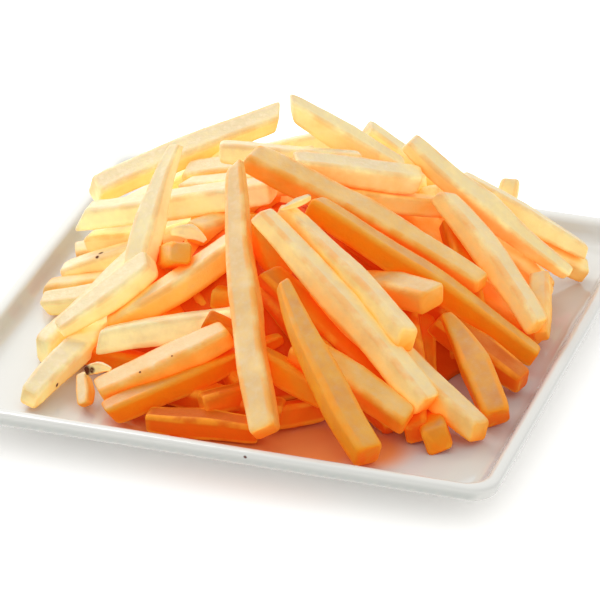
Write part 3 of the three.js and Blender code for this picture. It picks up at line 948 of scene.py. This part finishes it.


# %% [markdown]
# ## The crust
# Fried potato is golden on edges and ends, and it is slightly see-through: light spreads a
# millimetre or two under the skin before it comes out again. The colour is built in a node group
# that the fries and the core share. Four colour ramps run from the deepest gap to the open top,
# for a pale, a light, a golden and a dark fry, and how deeply a fry is fried blends between them.
# The ramps paint light and shade into the colour: painted shade turns the gaps orange and red,
# and painted light keeps the open tops pale. On top come whitish spots where the light is strong,
# partly dry crust and partly painted highlight, crisp golden edges and ends, and a few scorched
# spots, each a place and a radius.
# A heap with the lamp behind it also glows: light comes through the fries. A renderer would need
# very many bounces for it, so the group puts out a painted glow, an emission that is strongest in
# the gaps of pale fries.
# It also puts out a roughness and a height for fine bumps. A pair with IN in its name says where
# something starts and is full, and any other pair is a factor and what is added.

# %% Crust colours
CRUST_READS = {"Light": "light", "Room": "open", "Fried": "fried", "Corner": "corner", "End": "end",
               "Number": "fry"}
PATCH_SCALE = 110.0
MOTTLE_SCALE = 420.0
PIT_SCALE = 900.0
GRAIN_SCALE = 1500.0
LIGHT_BY_PATCH = (0.4, 0.8)
LIGHT_BY_MOTTLE = (0.3, 0.85)
OWN_FRYING = (0.1, -0.05)
PATCHY_FRYING = (0.3, -0.15)
DRY_AND_HIGHLIGHT_IN_LIGHT = (0.6, 0.95)
DRY_AND_HIGHLIGHT_IN_MOTTLE = (0.42, 0.72)
DRY_AND_HIGHLIGHT_IF_FRIED = (-0.36, 0.34)
CRISP_END = (0.1 * MM, 2.5 * MM, 0.4, 0.0)
CRISP_AT_CORNER = 0.9
CRISP_IN_PATCHES = (0.35, 0.6)
CRISP_IF_FRIED = (0.7, 0.2)
SCORCH_IN_MOTTLE = (0.2, 0.5)
CRUST_ROUGHNESS = (0.35, 0.33)
PIT_DEPTH = 0.5
SHARE_OF_LIGHT = 0.95
SHARE_OF_ROOM = 0.25
# Each ramp runs from painted shade in the deepest gap to painted light on the open top.
RAMP_STEPS = (0.0, 0.12, 0.28, 0.45, 0.70, 0.92)
PALE_SHADED_TO_LIT = [(250, 186, 84), (250, 217, 130), (246, 231, 168), (240, 227, 166), (214, 199, 150), (192, 178, 144)]
LIGHT_SHADED_TO_LIT = [(246, 116, 24), (243, 148, 44), (240, 182, 86), (231, 197, 124), (215, 190, 138), (198, 177, 142)]
GOLDEN_SHADED_TO_LIT = [(228, 80, 16), (230, 100, 12), (222, 120, 12), (216, 142, 34), (205, 153, 72), (190, 152, 100)]
DARK_SHADED_TO_LIT = [(206, 58, 14), (214, 78, 12), (214, 92, 12), (204, 94, 10), (188, 86, 12), (176, 80, 14)]
EDGE_GOLD = screen_colour(222, 138, 34)
DRY_AND_HIGHLIGHT_WHITE = screen_colour(220, 204, 176)
SCORCH_BROWN = screen_colour(74, 24, 10)
SCORCHES = [
    ((-54.4, -75.8, 23.2), 3.6), ((-51.6, -76.5, 24.0), 1.8), ((-76.5, 2.2, 28.1), 1.3),
    ((-76.9, -0.8, 27.9), 1.0), ((-65.3, -76.3, 15.4), 1.2), ((-32.0, -80.5, 28.6), 0.6),
    ((-21.9, -74.6, 33.8), 0.5), ((11.0, -16.0, 75.5), 1.3),
]
SPOT_CORE = 0.4
GLOW_PALE = 0.30
GLOW_DARK = 0.24
GLOW_ENDS_AT = 0.65
CORE_GLOW = 0.4
CORE_SHADE = {"light": 0.03, "open": 0.2, "fried": 0.9, "end": 1.0}


def colour_ramp(tree, share, colours):
    ramp = add(tree, "ShaderNodeValToRGB", {"Fac": share})
    steps = ramp.color_ramp.elements
    while len(steps) < len(colours):
        steps.new(0.5)
    for step, position, colour in zip(steps, RAMP_STEPS, colours):
        step.position = position
        step.color = screen_colour(*colour)
    return ramp.outputs["Color"]


def blend(tree, amount, first, second):
    """One colour laid over another."""
    return add(tree, "ShaderNodeMix", {0: amount, 6: first, 7: second},
               data_type="RGBA", blend_type="MIX").outputs[2]


def spots(tree, place, places):
    """How strongly small round spots cover a place: 1 in their middle, 0 past their radius."""
    cover = 0.0
    for middle, radius in places:
        gap = vectors(tree, "DISTANCE", place, [value * MM for value in middle])
        spot = between(tree, gap, SPOT_CORE * radius * MM, radius * MM, 1.0, 0.0)
        cover = maths(tree, "MAXIMUM", spot, cover)
    return cover


def crust_group():
    tree, given, result = new_tree(
        "crust_finish", "ShaderNodeTree", dict.fromkeys(CRUST_READS, "Float"),
        {"Color": "Color", "Glow": "Color", "Roughness": "Float", "Height": "Float"})
    place = add(tree, "ShaderNodeTexCoord").outputs["Object"]
    own = add(tree, "ShaderNodeTexWhiteNoise", {"W": given["Number"]}, noise_dimensions="1D")
    patches = noise(tree, place, PATCH_SCALE)
    mottle = noise(tree, place, MOTTLE_SCALE)
    # The measured light and room drive the ramps: painted light and painted shade in the colour.
    share = times(tree, given["Light"], SHARE_OF_LIGHT)
    share = scaled(tree, given["Room"], SHARE_OF_ROOM, share)
    share = times(tree, share, scaled(tree, patches, *LIGHT_BY_PATCH))
    share = times(tree, share, scaled(tree, mottle, *LIGHT_BY_MOTTLE))
    fried = scaled(tree, own.outputs["Value"], *OWN_FRYING)
    fried = plus(tree, fried, scaled(tree, patches, *PATCHY_FRYING))
    fried = plus(tree, fried, given["Fried"])
    colour = colour_ramp(tree, share, PALE_SHADED_TO_LIT)
    for third, colours in enumerate((LIGHT_SHADED_TO_LIT, GOLDEN_SHADED_TO_LIT, DARK_SHADED_TO_LIT)):
        amount = scaled(tree, fried, 3.0, -float(third), clamp=True)
        colour = blend(tree, amount, colour, colour_ramp(tree, share, colours))
    # Whitish spots where the painted light is strong: partly dry crust, partly painted highlight.
    dry_and_highlight = times(tree, between(tree, share, *DRY_AND_HIGHLIGHT_IN_LIGHT), between(tree, mottle, *DRY_AND_HIGHLIGHT_IN_MOTTLE))
    dry_and_highlight = times(tree, dry_and_highlight, scaled(tree, fried, *DRY_AND_HIGHLIGHT_IF_FRIED), clamp=True)
    colour = blend(tree, dry_and_highlight, colour, DRY_AND_HIGHLIGHT_WHITE)
    near_end = between(tree, given["End"], *CRISP_END)
    crisp = scaled(tree, between(tree, given["Corner"], 0.3, 1.0), CRISP_AT_CORNER, near_end)
    crisp = times(tree, crisp, between(tree, patches, *CRISP_IN_PATCHES), clamp=True)
    crisp = times(tree, crisp, scaled(tree, fried, *CRISP_IF_FRIED), clamp=True)
    colour = blend(tree, crisp, colour, EDGE_GOLD)
    scorch = times(tree, spots(tree, place, SCORCHES), between(tree, mottle, *SCORCH_IN_MOTTLE))
    colour = blend(tree, scorch, colour, SCORCH_BROWN)
    tree.links.new(colour, result["Color"])
    # The glow is painted light: an emission strongest in the painted shade of pale fries.
    glow = scaled(tree, fried, GLOW_DARK - GLOW_PALE, GLOW_PALE)
    glow = times(tree, glow, between(tree, share, 0.0, GLOW_ENDS_AT, 1.0, 0.0), clamp=True)
    tree.links.new(blend(tree, glow, (0, 0, 0, 1), colour), result["Glow"])
    tree.links.new(scaled(tree, mottle, *CRUST_ROUGHNESS), result["Roughness"])
    pits = add(tree, "ShaderNodeTexVoronoi", {"Vector": place, "Scale": PIT_SCALE}).outputs["Distance"]
    grain = noise(tree, place, GRAIN_SCALE)
    tree.links.new(scaled(tree, pits, PIT_DEPTH, plus(tree, grain, mottle)), result["Height"])
    return tree


def shader_attribute(tree, name):
    return add(tree, "ShaderNodeAttribute", attribute_name=name).outputs["Fac"]


def crust_material(material, group, fixed=None, glow=1.0):
    """Fills a material with the crust finish. What isn't fixed is read from the piece."""
    material.use_nodes = True
    tree = material.node_tree
    shader = tree.nodes["Principled BSDF"]
    finish = add(tree, "ShaderNodeGroup", node_tree=group)
    for socket, name in CRUST_READS.items():
        if fixed is None:
            tree.links.new(shader_attribute(tree, name), finish.inputs[socket])
        else:
            finish.inputs[socket].default_value = fixed.get(name, 0.0)
    bump = add(tree, "ShaderNodeBump",
               {"Strength": 0.35, "Distance": 0.25 * MM, "Height": finish.outputs["Height"]})
    for made, used in (("Color", "Base Color"), ("Glow", "Emission Color"), ("Roughness", "Roughness")):
        tree.links.new(finish.outputs[made], shader.inputs[used])
    tree.links.new(bump.outputs["Normal"], shader.inputs["Normal"])
    set_values(shader, {
        "Subsurface Weight": 0.2, "Subsurface Radius": (1.0, 0.45, 0.18),
        "Subsurface Scale": 1.6 * MM, "Specular IOR Level": 0.2,
        "Specular Tint": (1.0, 0.74, 0.38, 1.0), "Emission Strength": glow})


crust_finish = crust_group()
crust_material(crust, crust_finish)
# The core's crust is painted in fixed deep shade, with a painted glow.
core_crust = bpy.data.materials.new("shaded_crust")
crust_material(core_crust, crust_finish, CORE_SHADE, CORE_GLOW)
core.data.materials.append(core_crust)
print("crust finish nodes:", len(crust_finish.nodes))


# %% [markdown]
# ## The glaze
# The plate is covered with a clear, glassy glaze over white clay. It shines, but the glaze has
# pooled unevenly in the kiln, so its reflections waver very slightly. The lip's outer side is
# painted greyer and greener towards its foot, as painted shade. In front of the heap the well is
# painted orange, as painted shade and painted reflection of the fries. It is a row of soft round
# spots that run together, kept to the well. One small dark speck sits on the near side of the lip.

# %% Glaze
POOL_SCALE = 22.0
WAVE_SCALE = 60.0
GLAZE_TONES = ((193, 192, 188), (187, 188, 184))
GLAZE_ROUGHNESS = (0.08, 0.07)
# Painted shade: the lip's outer side turns greyer and greener towards its foot.
RIM_SHADE_FROM = 105.0
RIM_PAINTED_SHADE_TONE = (104, 115, 111)
# Painted orange shade and painted reflection of the fries, in the well in front of the heap.
ORANGE_SHADE_TONE = (220, 124, 14)
ORANGE_SHADE_STRENGTH = 0.85
ORANGE_SHADE_TO = (101.0, 104.5)
ORANGE_SHADE_PLACES = [
    ((-26.0, -82.0, 11.0), 22.0), ((-6.0, -84.0, 11.0), 26.0), ((14.0, -84.0, 11.0), 28.0),
    ((34.0, -82.0, 11.0), 27.0), ((52.0, -78.0, 11.0), 20.0),
]
SPECK = ((16.1, -106.5, 16.4), 0.9)


def glaze_material():
    material = bpy.data.materials.new("white_glaze")
    material.use_nodes = True
    tree = material.node_tree
    shader = tree.nodes["Principled BSDF"]
    place = add(tree, "ShaderNodeTexCoord").outputs["Object"]
    pools = noise(tree, place, POOL_SCALE, 2.0)
    waves = noise(tree, place, WAVE_SCALE, 1.0)
    tone = blend(tree, pools, screen_colour(*GLAZE_TONES[0]), screen_colour(*GLAZE_TONES[1]))
    far = add(tree, "ShaderNodeSeparateXYZ", {"Vector": place})
    side = maths(tree, "MAXIMUM", *(maths(tree, "ABSOLUTE", far.outputs[axis]) for axis in "XY"))
    # Painted shade on the lip's outer side, darkest at its foot.
    thick = times(tree, between(tree, side, RIM_SHADE_FROM * MM, plate_half * MM),
                  between(tree, far.outputs["Z"], PLATE_HEIGHT * MM, under_lip * MM))
    tone = blend(tree, thick, tone, screen_colour(*RIM_PAINTED_SHADE_TONE))
    # Painted orange shade and painted reflection of the fries, kept to the well floor.
    inside = between(tree, side, ORANGE_SHADE_TO[0] * MM, ORANGE_SHADE_TO[1] * MM, ORANGE_SHADE_STRENGTH, 0.0)
    inside = times(tree, inside,
                   between(tree, far.outputs["Z"], (PLATE_FLOOR - 1) * MM, (PLATE_FLOOR - 0.3) * MM))
    painted_orange_shade = times(tree, spots(tree, place, ORANGE_SHADE_PLACES), inside)
    tone = blend(tree, painted_orange_shade, tone, screen_colour(*ORANGE_SHADE_TONE))
    tone = blend(tree, spots(tree, place, [SPECK]), tone, SCORCH_BROWN)
    tree.links.new(tone, shader.inputs["Base Color"])
    tree.links.new(scaled(tree, pools, *GLAZE_ROUGHNESS), shader.inputs["Roughness"])
    bump = add(tree, "ShaderNodeBump", {"Strength": 0.12, "Distance": 0.4 * MM, "Height": waves})
    tree.links.new(bump.outputs["Normal"], shader.inputs["Normal"])
    set_values(shader, {"Coat Weight": 0.3, "Coat Roughness": 0.04})
    return material


plate.data.materials.append(glaze_material())
print("plate finish:", plate.data.materials[0].name)


# %% [markdown]
# ## Hand over
# Every piece rides on the one body of the part, and the plain solids that the pieces stand
# for, the plate and the heap of fries, are hidden.

# %% Ride on the body and hide the plain solids
for piece in [*fry_pieces, core]:
    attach(piece, "root")
    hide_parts("fries")
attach(plate, "root")
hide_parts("plate")
